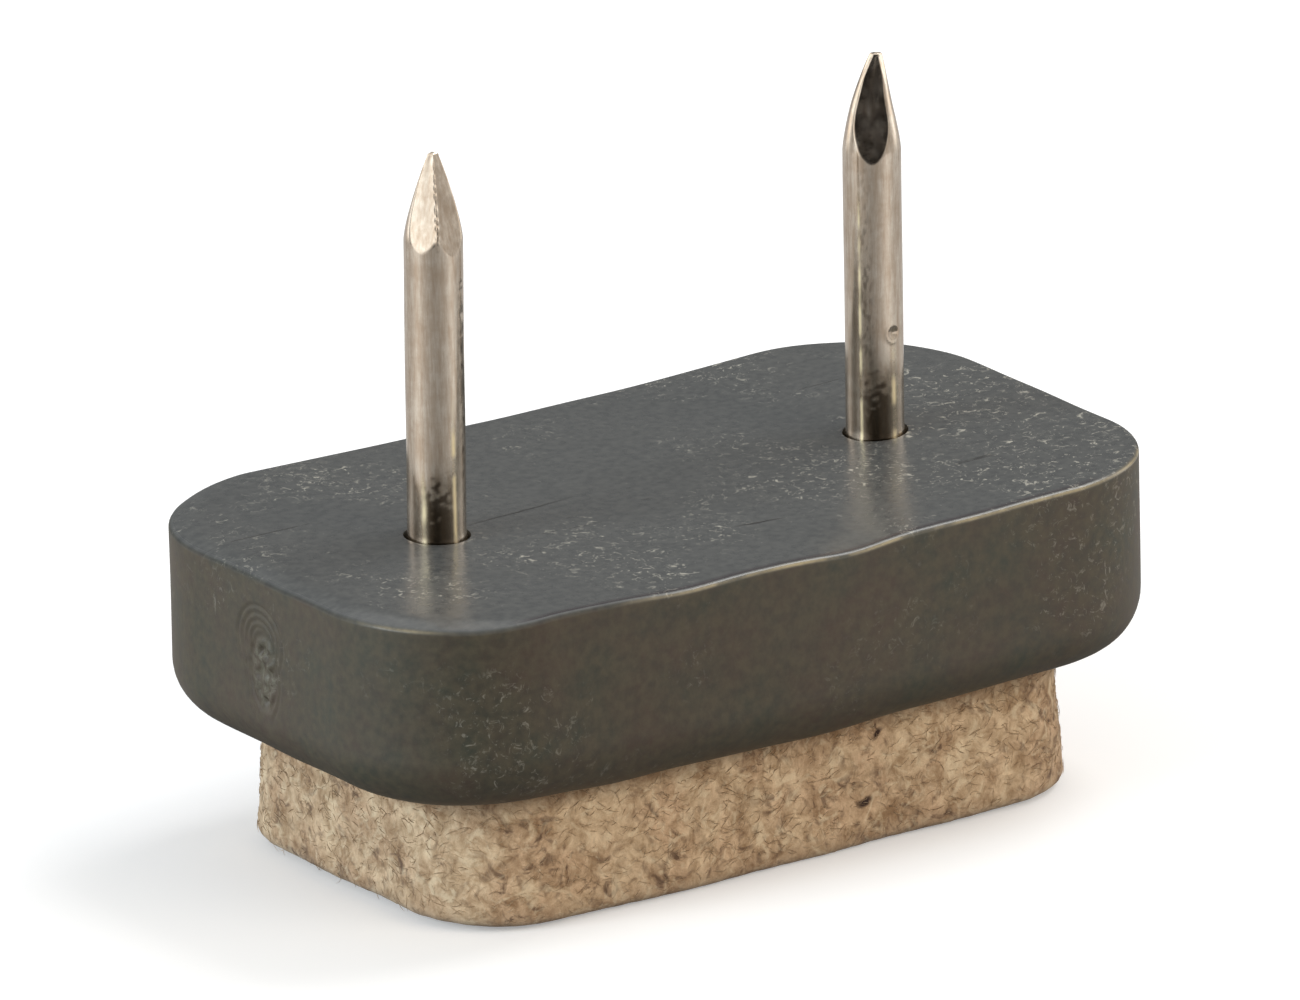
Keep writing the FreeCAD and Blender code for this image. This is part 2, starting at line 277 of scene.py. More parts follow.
def rubbed_places(points):
    """How much each place was rubbed, from 0 to 1: a soft hump round each spot of the top and of the near side that
    met other things, as (x, y, z, reach in mm, share)."""
    spots = ((-1.5, -5.5, 12.7, 2.0, 0.9), (0.2, -2.6, 12.7, 1.3, 0.6), (14.8, -6.6, 12.7, 3.0, 1.0),
             (12.0, -8.9, 12.7, 3.0, 1.0), (14.3, -2.5, 12.7, 2.6, 0.8), (7.2, -3.6, 12.7, 3.0, 0.7),
             (14.5, 2.0, 12.7, 3.0, 0.8), (-6.6, -6.0, 12.7, 3.0, 0.55), (-8.6, 7.4, 12.7, 3.0, 0.5),
             (-13.5, -5.5, 12.7, 2.4, 0.8), (10.4, 9.0, 12.7, 2.2, 0.7), (5.0, -3.4, 12.7, 2.2, 0.7),
             (5.0, 4.0, 12.7, 3.5, 0.35), (-14.0, -9.0, 9.8, 2.3, 0.5), (-13.6, -9.6, 7.6, 2.4, 0.45),
             (-11.4, -10.3, 8.6, 1.8, 0.3), (12.2, -10.3, 8.8, 1.6, 0.7), (10.4, -10.3, 7.8, 1.2, 0.7),
             (13.5, -9.8, 11.0, 1.8, 0.5))
    spots = np.array(spots)
    near = np.linalg.norm(points[:, None] - spots[None, :, :3], axis=-1) / spots[:, 3]
    return np.clip((spots[:, 4] * np.exp(-near ** 2)).sum(1), 0, 1)


depth, torn = gate_depth(foot_points)
shaped = foot_points.copy()
shaped[:, 0] += depth
shaped[:, 2] += sag(foot_points) + rim_dents(foot_points) + 0.012 * uneven(foot_points, 5, 11)
shaped[:, 1] += 0.012 * uneven(foot_points, 6, 12)
fx, fy, fz = foot_points.T
level_top = np.clip((fz - (TOP - TOP_ROUND)) / 0.19, 0, 1)
flat_top = fz > TOP - 1e-4
edge_round = ~flat_top & (np.abs(np.abs(fx) - NAIL_X) + np.abs(fy) > 4)
# The near top edge and a spot on the near-left corner get a painted highlight: a pale colour on the edge round that
# stands for a lamp's reflection, together with a smoother finish.
near_edge, left_corner = (fy < -8) * np.clip((fx + 9) / 4, 0, 1), bell(np.hypot(fx + 16.6, fy + 7.4), 0, 1.3)
highlight_edge = np.clip(near_edge + left_corner, 0, 1)
foot = make_piece("foot_shell", shaped, foot_faces, "moulded_foot", {
    "torn": torn, "top": level_top, "rubbed": rubbed_places(foot_points),
    # rim: where the painted highlight lies on the top edge round.
    "rim": bell(fz, 12.66, 0.045) * edge_round * highlight_edge,
    "dulled": bell(fz, 12.68, 0.07) * edge_round * (1 - highlight_edge),
    "shade": flat_top * np.clip((-fy - 9.85) / 0.25, 0, 1)})
print("deepest sag", round(float(sag(foot_points).min()), 3), "mm, gate depth", round(float(depth.max()), 3), "mm")

# %% [markdown]
# ## The nails
# Each nail is plated wire. Its head and tapered neck are moulded into the foot, and its point is pinched between
# two dies, which leave flats with sharp ridges between them. A cone with four cuts would give a point, but the real
# ones are uneven. So the nail is a radius for every angle and height: the round wire and a rounded taper, cut back
# by leaning flats. Each flat is the distance of a plane from the nail's axis, divided by the cosine of the angle
# away from the flat's middle, and the smallest radius wins.

# %% Radius of a pinched point
TOWARDS_CAMERA = -124.26
MEAN_LEAN = 0.15


def softest(first, second, width=0.03):
    """The smaller of two lengths, rounded over where they meet."""
    mix = np.maximum(width - np.abs(first - second), 0) / width
    return np.minimum(first, second) - mix * mix * width / 4


def point_radius(angle, below, flats, length, blunt):
    """Radius of the point at an angle and a distance below the tip: a rounded taper from the blunt tip to the wire,
    cut by flats. A flat is (middle angle, distance from the axis per mm below the tip, distance at the tip, how
    hollow the die left it)."""
    along = np.clip(below / length, 0, 1)
    radius = blunt + (WIRE - blunt) * (1 - (1 - along) ** 1.33) + 0 * angle
    for middle, slope, start, hollow in flats:
        facing = np.cos(angle - np.radians(middle + TOWARDS_CAMERA))
        distance = slope * below + start - hollow * bell(below, 2.6, 0.85)
        flat = np.where(facing > 0.05, distance / np.maximum(facing, 0.05), 9.0)
        radius = softest(radius, flat)
    return radius


# %% Shape one nail
def nail_grid(axis_x, flats, length, blunt, bent, stand, marks):
    """Rows from the middle of the head up the tapered neck, the wire and the point to the tip. bent is
    how far the tip's last stretch is bent to the picture's right, and over what length; stand is how far the nail
    stands off its drawn place at the foot and at the tip; marks changes the radius for its own handling marks."""
    angle = np.linspace(0, 2 * np.pi, 192, endpoint=False)[None, :]
    head_r = np.r_[0, 1.2, 2.1, 2.25, 2.36, 2.4, 2.4, 2.36, 2.25, 1.9, 1.5]
    head_z = np.r_[[RECESS_FLOOR] * 4, 8.29, 8.4, 9.1, 9.21, [HEAD_TOP] * 3]
    neck = np.linspace(0, 1, 14)[1:]
    shank = np.linspace(TOP, 22.6, 110)[1:]
    below = np.r_[np.linspace(4.75, 0.1, 118)[1:], 0.1 * (1 - np.sin(np.linspace(0, np.pi / 2, 8)))[1:]]
    height = np.r_[head_z, HEAD_TOP + (TOP - HEAD_TOP) * neck, shank, TIP - below][:, None]
    radius = np.r_[head_r, 1.5 - 0.4 * neck, np.full(len(shank) + len(below), WIRE)][:, None] + 0 * angle
    tip = TIP - height
    shaped = point_radius(angle, np.maximum(tip, 0.1), flats, length, blunt)
    dome = np.sqrt(np.clip(1 - (1 - np.clip(tip / 0.1, 0, 1)) ** 2, 0, 1))
    radius = np.where(height > TOP, np.minimum(radius, shaped) * dome, radius)
    marked = (height > TOP + 0.05) & (tip > 0.12)
    radius = np.where(marked, marks(angle, height, tip, radius), radius)
    shift = bent[0] * np.clip(1 - tip / bent[1], 0, 1) ** 1.5
    lean = np.interp(height, [TOP, TIP], stand)
    x = axis_x + lean + shift * picture_right[0] + radius * np.cos(angle)
    y = shift * picture_right[1] + radius * np.sin(angle)
    return np.stack([x, y, height + 0 * angle], -1)


def round_angle(angle, middle):
    """Degrees away from a direction given against the camera's, from -180 to 180."""
    return (np.degrees(angle) - middle - TOWARDS_CAMERA + 180) % 360 - 180


# %% [markdown]
# ### Handling marks and painted light on each nail
# The left point kept a ragged line of flash where the two dies met. The right tip is bent a little aside, and that
# nail has a small dimple from a feed gripper. Both have shallow nicks down one side. These are changes of the radius
# by hundredths of a millimetre, small enough to leave the wire's size alone. Dark pits, a painted dark reflection of
# the foot and its shade low on each wire, and painted bright streaks of reflected light change no shape, so the mesh
# carries them as numbers for the material.

# %% Build both nails
def nicks_at(height, rows):
    """A row of nicks: the sum of one hump for each (height, width, share)."""
    return sum(share * bell(height, z, wide) for z, wide, share in rows)


def left_marks(angle, height, tip, radius):
    """A ragged ridge from the tip down, nicks down the right side, and a faint drawn unevenness."""
    ragged = 0.55 + 0.45 * np.sin(2 * np.pi * tip / 0.37 + 1.2 * np.sin(tip * 5.1))
    ends = np.clip(tip / 0.5, 0, 1) * np.clip((3.5 - tip) / 0.3, 0, 1)
    ridge = 0.055 * bell(round_angle(angle, 9), 0, 3.6) * ragged * ends
    nicks = 0.03 * bell(round_angle(angle, 72), 0, 12) * nicks_at(height, (
        (22.45, 0.05, 0.8), (22.2, 0.07, 1.0), (21.3, 0.16, 0.9), (20.55, 0.05, 0.6), (19.9, 0.3, 0.5),
        (18.4, 0.5, 0.4)))
    return radius + ridge - nicks - 0.006 * (1 + np.sin(3 * angle + height * 0.8))


def right_marks(angle, height, tip, radius):
    """A dimple with a raised lip, fine nicks, and a faint drawn unevenness."""
    away = np.hypot(radius * np.radians(round_angle(angle, 41)), height - 16.68)
    dimple = 0.07 * bell(away, 0, 0.19) - 0.018 * bell(away, 0.3, 0.08)
    nicks = 0.02 * bell(round_angle(angle, 74), 0, 10) * nicks_at(height, (
        (22.2, 0.06, 0.8), (20.8, 0.05, 1.0), (19.9, 0.12, 0.7), (18.2, 0.05, 0.8)))
    return radius - dimple - nicks - 0.006 * (1 + np.sin(3 * angle - height * 0.7))


def side_and_height(grid, axis_x):
    """Degrees from the camera's side round the nail, and the height, at each point of a nail's grid."""
    x, y, z = np.moveaxis(grid, -1, 0)
    return round_angle(np.arctan2(y, x - axis_x - MEAN_LEAN), 0), z


def painted_reflection_and_pits(grid, axis_x, band, share):
    """How dark each point is, from 0 to 1: a painted dark reflection of the foot and its shade, as a patch with a
    ragged top at the foot of the wire on the side that faces the camera, and real pits scattered down one side of it."""
    side, z = side_and_height(grid, axis_x)
    ragged = 14.5 + 0.35 * uneven(grid, 0.35, 44)
    # Painted dark reflection: the dark plastic and its shade as they show in the wire's foot, painted on the side
    # facing the camera.
    painted_dark_reflection = np.exp(-(((side - 3) / 31) ** 4)) / (1 + np.exp((z - ragged) / 0.12))
    flecks = np.clip(uneven(grid * [1, 1, 0.5], 0.2, 42) * 1.6 - 0.5, 0, 1)
    pits = bell(side, band, 13) * flecks * bell(z, 18.2, 4.2)
    return np.clip(0.85 * painted_dark_reflection + share * pits, 0, 1)


def painted_streaks(grid, axis_x, lines):
    """How bright each point is painted, from 0 to 1: painted highlights of reflected light as narrow streaks up the
    wire, each at an angle from the camera's side, with a width in degrees and a height where it ends."""
    side, z = side_and_height(grid, axis_x)
    patchy = np.clip(0.75 + 0.5 * uneven(grid, 1.3, 45), 0.2, 1)
    return patchy * sum(bell(side, angle, wide) / (1 + np.exp((z - top) / 0.35)) for angle, wide, top in lines)


left_flats = [(-23, 0.282, 0.12, 0.05), (44, 0.262, 0.12, 0), (147, 0.28, 0.12, 0), (-118, 0.29, 0.12, 0)]
right_flats = [(-1, 0.25, 0.11, 0.11), (60, 0.41, 0.12, 0), (-62, 0.41, 0.12, 0), (180, 0.27, 0.08, 0)]
nails = []
for name, node, axis_x, shape, pitted, lines in (
        ("nail_left", "left_nail", -NAIL_X, (left_flats, 3.3, 0.2, (0.02, 3.6), (HOLE_SHIFT, 0.31), left_marks),
         (72, 0.9), ((37, 5, 17.2), (-25, 6, 14.9))),
        ("nail_right", "right_nail", NAIL_X, (right_flats, 3.75, 0.23, (0.2, 2.2), (HOLE_SHIFT, 0.2), right_marks),
         (-18, 0.5), ((-29, 3, 21.6), (38, 6, 15.6)))):
    grid = nail_grid(axis_x, *shape)
    tones = {"dark_reflection_and_pits": painted_reflection_and_pits(grid, axis_x, *pitted).ravel(), "streak_highlight": painted_streaks(grid, axis_x, lines).ravel()}
    nails.append(make_piece(name, grid.reshape(-1, 3), grid_faces(*grid.shape[:2]), node, tones))

# %% [markdown]
# ## The felt sole
# The sole is a block die-cut from thick pressed wool felt and pushed into the recess, where the walls grip it. What
# stands out below swells a little towards the floor. It is not a cushion: pressed felt is firm and keeps its cut
# shape, so no cloth simulation is needed. One grid runs from the middle of the sole, round the lower edge, up the
# flared side, into the recess and to the middle of the hidden top, and a random field gives the cut wool its
# uneven face.

# %% Shape the felt block
def full_outline(half_x, half_y, corner, steps=90):
    """Once round a rounded rectangle: each corner is a quarter circle, and the gaps between them close straight."""
    spans = [(1, -1, -90), (1, 1, 0), (-1, 1, 90), (-1, -1, 180)]
    arc = np.linspace(0, np.pi / 2, 26)
    corners = [np.stack([sx * (half_x - corner) + corner * np.cos(arc + np.radians(start)),
                         sy * (half_y - corner) + corner * np.sin(arc + np.radians(start))], -1)
               for sx, sy, start in spans]
    counts = (steps // 2, steps, steps // 2, steps)
    gaps = [this[-1] + np.linspace(0, 1, count)[1:-1, None] * (after[0] - this[-1])
            for this, after, count in zip(corners, corners[1:] + corners[:1], counts)]
    return np.concatenate([part for pair in zip(corners, gaps) for part in pair])


def felt_profile():
    """Rows of (scale of the outline, growth of the outline, height): sole, edge round, flared side, recess, top."""
    arc, hidden_top = np.linspace(0, np.pi / 2, 7), RECESS_FLOOR - 0.05
    sole = np.stack([np.linspace(0, 1, 14)[:-1], np.zeros(13) - 0.05, np.zeros(13)], -1)
    edge = np.stack([np.ones(7), 0.31 - 0.4 * (1 - np.sin(arc)), 0.4 * (1 - np.cos(arc))], -1)
    side = np.linspace(0.4, UNDERSIDE, 46)[1:]
    wall = np.stack([np.ones(45), FELT_FLARE * (1 - side / UNDERSIDE) - 0.01, side], -1)
    hidden = np.stack([np.ones(6), np.full(6, -0.01), np.linspace(UNDERSIDE, hidden_top, 7)[1:]], -1)
    top = np.stack([np.linspace(1, 0, 8)[1:], np.full(7, -0.01), np.full(7, hidden_top)], -1)
    return np.concatenate([sole, edge, wall, hidden, top])


def felt_surface(share, grow, height):
    """A row of the block: the outline grown outwards, then scaled towards its middle, at one height."""
    outline = share * full_outline(FELT_X + grow, FELT_Y + grow, FELT_CORNER + grow)
    return np.insert(outline, 2, height, axis=1)


felt_grid = np.stack([felt_surface(*row) for row in felt_profile()])
felt_points = felt_grid.reshape(-1, 3)


def cut_face(points):
    """How far the cut wool stands in or out at each point of the side, in mm, as a move outwards in plan: three sizes
    of unevenness, fading out where the block enters the foot and towards the middle of the sole."""
    from_middle = np.clip(np.hypot(points[:, 0] / 14, points[:, 1] / FELT_Y), 0, 1)
    bare = np.clip((5.2 - points[:, 2]) / 0.4, 0, 1) * from_middle
    bumps = 0.012 * uneven(points, 1.1, 21) + 0.008 * uneven(points, 0.5, 22) + 0.04 * uneven(points, 5, 23)
    outward = points * [1, 1.7, 0]
    outward /= np.maximum(np.linalg.norm(outward, axis=1, keepdims=True), 1e-6)
    return outward * (bumps * bare)[:, None]


def felt_sag(points):
    """How far the felt dips with the foot, in mm: all of the foot's sag where they meet, and less than half of it at
    the floor."""
    return (0.45 + 0.55 * np.clip(points[:, 2] / UNDERSIDE, 0, 1)) * sag(points)


felt_shaped = felt_points + cut_face(felt_points)
raised_end = 0.16 * bell(felt_points[:, 0], -14.4, 2.5) * np.clip(1 - felt_points[:, 2] / UNDERSIDE, 0, 1)
felt_shaped[:, 2] += felt_sag(felt_points) + raised_end
felt = make_piece("felt_block", felt_shaped, grid_faces(*felt_grid.shape[:2]), "felt_sole")
print("felt lowest", round(float(felt_shaped[:, 2].min()), 3), "mm")

# %% [markdown]
# ### Loose fibres
# Cut felt is never smooth: wool hairs lie across its side and stick out of it. A particle system could grow them,
# but they would not travel with the exported part. Each hair is a bent three-sided tube of a few faces instead,
# laid along the felt's side at random, and all of them are made at once as one array.

# %% Lay the fibres
HAIR_ROWS, HAIR_SIDES = 5, 3


def fibre_tubes(count, seed):
    """Hairs on the felt's side: a start on the outline at a random height, a heading along the side that turns a
    little, and a small arch away from the side. Returns tube points, faces and a tone for each hair."""
    rng = np.random.default_rng(seed)
    loop = full_outline(FELT_X, FELT_Y, FELT_CORNER)
    ahead = np.roll(loop, -1, 0) - np.roll(loop, 1, 0)
    ahead /= np.linalg.norm(ahead, axis=1, keepdims=True)
    length_along = np.cumsum(np.linalg.norm(loop - np.roll(loop, 1, 0), axis=1))
    pick = np.searchsorted(length_along, rng.uniform(0, length_along[-1], count)) % len(loop)
    along = np.concatenate([ahead[pick], np.zeros((count, 1))], 1)
    away = np.stack([along[:, 1], -along[:, 0], np.zeros(count)], 1)
    after = np.roll(ahead, -1, 0)
    turned = ahead[:, 0] * after[:, 1] - ahead[:, 1] * after[:, 0]
    bend = turned / np.linalg.norm(np.roll(loop, -1, 0) - loop, axis=1)
    height = rng.uniform(0.35, 4.95, count)
    grow = FELT_FLARE * (1 - height / UNDERSIDE)
    start = np.concatenate([loop[pick], height[:, None]], 1) + away * grow[:, None]
    start[:, 2] += felt_sag(start)
    step = np.linspace(-0.5, 0.5, HAIR_ROWS)
    size = rng.uniform(0.25, 0.8, count)
    heading = rng.normal(0, 0.75, count)[:, None] + rng.normal(0, 0.9, count)[:, None] * step
    run = (np.cumsum(np.cos(heading), 1) - 3 * np.cos(heading[:, 2:3])) * size[:, None] / HAIR_ROWS
    climb = (np.cumsum(np.sin(heading), 1) - 3 * np.sin(heading[:, 2:3])) * size[:, None] / HAIR_ROWS
    arch = rng.uniform(0.0, 0.035, count)[:, None] * (1 - (2 * step) ** 2)
    arch += rng.normal(0, 0.015, count)[:, None] * step - bend[pick][:, None] * run ** 2 / 2
    spine = (start[:, None] + along[:, None] * run[..., None] + away[:, None] * (arch + 0.006)[..., None]
             + np.array([0, 0, 1.0]) * climb[..., None])
    spine += cut_face(spine.reshape(-1, 3)).reshape(spine.shape)
    spine[..., 2] = np.clip(spine[..., 2], 0.03, 5.3)
    thick = rng.uniform(0.008, 0.016, count)[:, None] * (1 - 0.7 * (2 * np.abs(step)) ** 3)
    across = np.cross(away, along)
    spoke = np.radians(np.arange(HAIR_SIDES) * 360 / HAIR_SIDES)
    ring = away[:, None] * np.cos(spoke)[None, :, None] + across[:, None] * np.sin(spoke)[None, :, None]
    tubes = spine[:, :, None] + ring[:, None] * thick[..., None, None]
    per_hair = HAIR_ROWS * HAIR_SIDES
    tone = np.repeat(rng.beta(2.0, 1.3, count), per_hair)
    first = per_hair * np.arange(count)[:, None, None]
    faces = (grid_faces(HAIR_ROWS, HAIR_SIDES)[None] + first).reshape(-1, 4)
    caps = np.array([[2, 1, 0], [12, 13, 14]])[None] + first
    return tubes.reshape(-1, 3), faces.tolist() + caps.reshape(-1, 3).tolist(), tone


hair_points, hair_faces, hair_tone = fibre_tubes(3200, 31)
fibres = make_piece("felt_fibres", hair_points, hair_faces, tones={"tone": hair_tone}, weld=False)

# %% [markdown]
# ## Colours and nodes
# A colour picked from a screen is coded for the screen, and the renderer works in plain amounts of light, so one
# function turns the usual six letters into light. One more small function adds a node, sets its properties and
# fills its sockets, and links a socket whenever it is handed another node's output.

# %% Colour and node helpers
def light(code):
    """Six hex letters to linear red, green, blue and an alpha of 1."""
    share = np.array([int(code[i:i + 2], 16) / 255 for i in (1, 3, 5)])
    linear = np.where(share <= 0.04045, share / 12.92, ((share + 0.055) / 1.055) ** 2.4)
    return (*linear.tolist(), 1.0)


def add(tree, kind, sockets=None, **settings):
    """One node: settings are its own properties, sockets its inputs by name or number; an output is linked."""
    node = tree.nodes.new(kind)
    for name, value in settings.items():
        setattr(node, name, value)
    for name, value in (sockets or {}).items():
        if isinstance(value, bpy.types.NodeSocket):
            tree.links.new(value, node.inputs[name])
        else:
            node.inputs[name].default_value = value
    return node


def start_material(name):
    """A new material with its nodes cleared, and its Object coordinates, which are metres on the part."""
    material = bpy.data.materials.new(name)
    material.use_nodes = True
    material.node_tree.nodes.clear()
    return material, material.node_tree, add(material.node_tree, "ShaderNodeTexCoord").outputs["Object"]


def per_mm(size):
    """Texture scale for a pattern whose spots are about size mm across, on coordinates in metres."""
    return 1000.0 / size


def wobbly(tree, place, size, reach):
    """The coordinates shaken by up to reach mm in spots of about size mm, so that marks get ragged rims."""
    shake = add(tree, "ShaderNodeTexNoise",
                {"Vector": place, "Scale": per_mm(size), "Detail": 3.0}).outputs["Color"]
    return add(tree, "ShaderNodeVectorMath",
               {0: shake, 1: (reach * MM,) * 3, 2: place}, operation="MULTIPLY_ADD").outputs[0]


def spot(tree, place, centre, turns, half):
    """1 inside one stretched round spot, fading to 0 at its rim: centre and half sizes in mm, turns in degrees."""
    frame_of_spot = {"Vector": place, "Location": [v * MM for v in centre], "Rotation": np.radians(turns).tolist(),
                     "Scale": [v * MM for v in half]}
    inside = add(tree, "ShaderNodeMapping", frame_of_spot, vector_type="TEXTURE").outputs["Vector"]
    away = add(tree, "ShaderNodeVectorMath", {0: inside}, operation="LENGTH").outputs["Value"]
    return add(tree, "ShaderNodeMapRange", {"Value": away, "From Min": 1.3, "From Max": 0.6}).outputs["Result"]


print("middle grey is", np.round(light("#808080")[0], 3))

# %% [markdown]
# ## Moulded plastic
# The foot is dark grey plastic with a satin skin, smoother on top than on the sides. The top is painted paler and
# greyer than the sides as painted light, a thin painted highlight runs along the top edge, and a painted shade line
# lies just inside the near top edge. What tells the eye it is a used moulding and not a computer's grey is the skin:
# cloudy warm and green-grey patches a few millimetres wide, pale dust and scuffs that crowd on the right of the top,
# fine dark scratches along the length, and a torn, paler gate. Dust of a few hundredths of a millimetre would be lost
# in the picture, so its specks are drawn near a tenth.

# %% Plastic material
def plastic_material():
    """Principled plastic: patch colour, dust, scuffs and scratches in the colour, along with a painted paler top, a
    painted highlight on the top edge and a painted shade line inside the near top edge; the same marks in the
    roughness, and an orange-peel skin in the bump."""
    material, tree, place = start_material("moulded_plastic")
    patch = add(tree, "ShaderNodeTexNoise",
                {"Vector": place, "Scale": per_mm(3.2), "Detail": 5.0, "Roughness": 0.65}).outputs["Fac"]
    cloud = add(tree, "ShaderNodeMapRange", {"Value": patch, "From Min": 0.36, "From Max": 0.64}).outputs["Result"]
    body = add(tree, "ShaderNodeMix",
               {0: cloud, 6: light("#33352a"), 7: light("#42352a")}, data_type="RGBA").outputs[2]
    grain = add(tree, "ShaderNodeTexNoise", {"Vector": place, "Scale": per_mm(0.35), "Detail": 3.0}).outputs["Fac"]
    mottle = add(tree, "ShaderNodeMapRange",
                 {"Value": grain, "From Min": 0.32, "From Max": 0.68, "To Min": 0.0,
                  "To Max": 0.7}).outputs["Result"]
    # The top face is painted paler and greyer than the sides: painted light where the top faces the lamps, on a
    # plastic that is one colour all over.
    top = add(tree, "ShaderNodeAttribute", attribute_name="top").outputs["Fac"]
    top_painted_lighter = add(tree, "ShaderNodeMix", {0: top, 6: body, 7: light("#4a4c4c")}, data_type="RGBA").outputs[2]
    paler = add(tree, "ShaderNodeMix",
                {0: top, 6: light("#4f4837"), 7: light("#5c5d5b")}, data_type="RGBA").outputs[2]
    skin = add(tree, "ShaderNodeMix", {0: mottle, 6: top_painted_lighter, 7: paler}, data_type="RGBA").outputs[2]

    shade = add(tree, "ShaderNodeAttribute", attribute_name="shade").outputs["Fac"]
    shaded = add(tree, "ShaderNodeMix", {0: shade, 6: skin, 7: light("#3a3436")}, data_type="RGBA").outputs[2]
    dust = add(tree, "ShaderNodeTexNoise",
               {"Vector": place, "Scale": per_mm(0.38), "Detail": 4.0, "Roughness": 0.72,
                "Distortion": 1.2}).outputs["Fac"]
    dust_spots = add(tree, "ShaderNodeMapRange",
                     {"Value": dust, "From Min": 0.565, "From Max": 0.69}).outputs["Result"]
    crowd = add(tree, "ShaderNodeTexNoise",
                {"Vector": place, "Scale": per_mm(4.5), "Detail": 3.0, "Roughness": 0.7}).outputs["Fac"]
    places = add(tree, "ShaderNodeAttribute", attribute_name="rubbed").outputs["Fac"]
    crowd_here = add(tree, "ShaderNodeMath", {0: places, 1: 0.32, 2: crowd}, operation="MULTIPLY_ADD").outputs[0]
    crowded = add(tree, "ShaderNodeMapRange",
                  {"Value": crowd_here, "From Min": 0.52, "From Max": 0.72}).outputs["Result"]
    strength = add(tree, "ShaderNodeMapRange", {"Value": top, "To Min": 0.29, "To Max": 1.0}).outputs["Result"]
    dust_here = add(tree, "ShaderNodeMath", {0: dust_spots, 1: strength}, operation="MULTIPLY").outputs[0]
    scuffs = add(tree, "ShaderNodeMath", {0: dust_here, 1: crowded}, operation="MULTIPLY").outputs[0]

    long, thin = per_mm(50 / 3), per_mm(5 / 13)
    stretch = add(tree, "ShaderNodeMapping",
                  {"Vector": place, "Rotation": (0.0, 0.0, 0.22), "Scale": (long, thin, long)}).outputs["Vector"]
    lines = add(tree, "ShaderNodeTexNoise", {"Vector": stretch, "Scale": 1.0, "Detail": 1.0}).outputs["Fac"]
    line_marks = add(tree, "ShaderNodeMapRange",
                     {"Value": lines, "From Min": 0.71, "From Max": 0.76}).outputs["Result"]
    broken = add(tree, "ShaderNodeMapRange", {"Value": patch, "From Min": 0.54, "From Max": 0.62}).outputs["Result"]
    short_lines = add(tree, "ShaderNodeMath", {0: line_marks, 1: broken}, operation="MULTIPLY").outputs[0]
    thin_lines = add(tree, "ShaderNodeMath", {0: short_lines, 1: top}, operation="MULTIPLY").outputs[0]
    ragged = wobbly(tree, place, 0.8, 0.16)
    by_nail = spot(tree, ragged, (-5.8, 0.6, 12.6), (0, 0, 7), (2.6, 0.06, 0.8))
    by_edge = spot(tree, ragged, (0.7, -5.7, 12.5), (0, 0, -9), (0.95, 0.07, 0.8))
    two_lines = add(tree, "ShaderNodeMath", {0: by_nail, 1: by_edge}, operation="MAXIMUM").outputs[0]
    scratches = add(tree, "ShaderNodeMath", {0: thin_lines, 1: two_lines}, operation="MAXIMUM").outputs[0]
    torn_spots = add(tree, "ShaderNodeAttribute", attribute_name="torn").outputs["Fac"]

    dusty = add(tree, "ShaderNodeMix", {0: scuffs, 6: shaded, 7: light("#b9b6aa")}, data_type="RGBA").outputs[2]
    scratched = add(tree, "ShaderNodeMix",
                    {0: scratches, 6: dusty, 7: light("#2c2b29")}, data_type="RGBA").outputs[2]
    # The pale colour on the top edge round is a painted highlight, a lamp's reflection painted in and broken up by
    # the patches.
    edge = add(tree, "ShaderNodeAttribute", attribute_name="rim").outputs["Fac"]
    patchy = add(tree, "ShaderNodeMapRange",
                 {"Value": patch, "From Min": 0.38, "From Max": 0.58, "To Min": 0.1,
                  "To Max": 1.0}).outputs["Result"]
    painted_edge_highlight = add(tree, "ShaderNodeMath", {0: edge, 1: patchy}, operation="MULTIPLY").outputs[0]
    highlight_mixed = add(tree, "ShaderNodeMix", {0: painted_edge_highlight, 6: scratched, 7: light("#a99b79")}, data_type="RGBA").outputs[2]
    crumbs = add(tree, "ShaderNodeMapRange",
                 {"Value": dust, "From Min": 0.45, "From Max": 0.62, "To Min": 0.05,
                  "To Max": 0.6}).outputs["Result"]
    torn_share = add(tree, "ShaderNodeMath", {0: torn_spots, 1: crumbs}, operation="MULTIPLY").outputs[0]
    colour = add(tree, "ShaderNodeMix", {0: torn_share, 6: highlight_mixed, 7: light("#706f60")}, data_type="RGBA").outputs[2]

    sheen = add(tree, "ShaderNodeMapRange", {"Value": top, "To Min": 0.48, "To Max": 0.15}).outputs["Result"]
    polish = add(tree, "ShaderNodeMath", {0: edge, 1: -0.25, 2: sheen}, operation="MULTIPLY_ADD").outputs[0]
    dulled = add(tree, "ShaderNodeAttribute", attribute_name="dulled").outputs["Fac"]
    matted = add(tree, "ShaderNodeMath", {0: dulled, 1: 0.4, 2: polish}, operation="MULTIPLY_ADD").outputs[0]
    rough = add(tree, "ShaderNodeMath", {0: grain, 1: 0.16, 2: matted}, operation="MULTIPLY_ADD").outputs[0]
    shine = add(tree, "ShaderNodeMapRange", {"Value": dulled, "To Min": 0.5, "To Max": 0.06}).outputs["Result"]
    peel = add(tree, "ShaderNodeTexNoise",
               {"Vector": place, "Scale": per_mm(0.6), "Detail": 5.0, "Roughness": 0.6}).outputs["Fac"]
    relief = add(tree, "ShaderNodeMath", {0: scratches, 1: -0.6, 2: peel}, operation="MULTIPLY_ADD").outputs[0]
    bump = add(tree, "ShaderNodeBump",
               {"Height": relief, "Strength": 0.27, "Distance": 0.06 * MM}).outputs["Normal"]
    shader = add(tree, "ShaderNodeBsdfPrincipled", {
        "Base Color": colour, "Roughness": rough, "Normal": bump, "IOR": 1.5, "Specular IOR Level": shine})
    add(tree, "ShaderNodeOutputMaterial", {"Surface": shader.outputs[0]})
    return material


foot.data.materials.append(plastic_material())
print("plastic nodes:", len(foot.data.materials[0].node_tree.nodes))
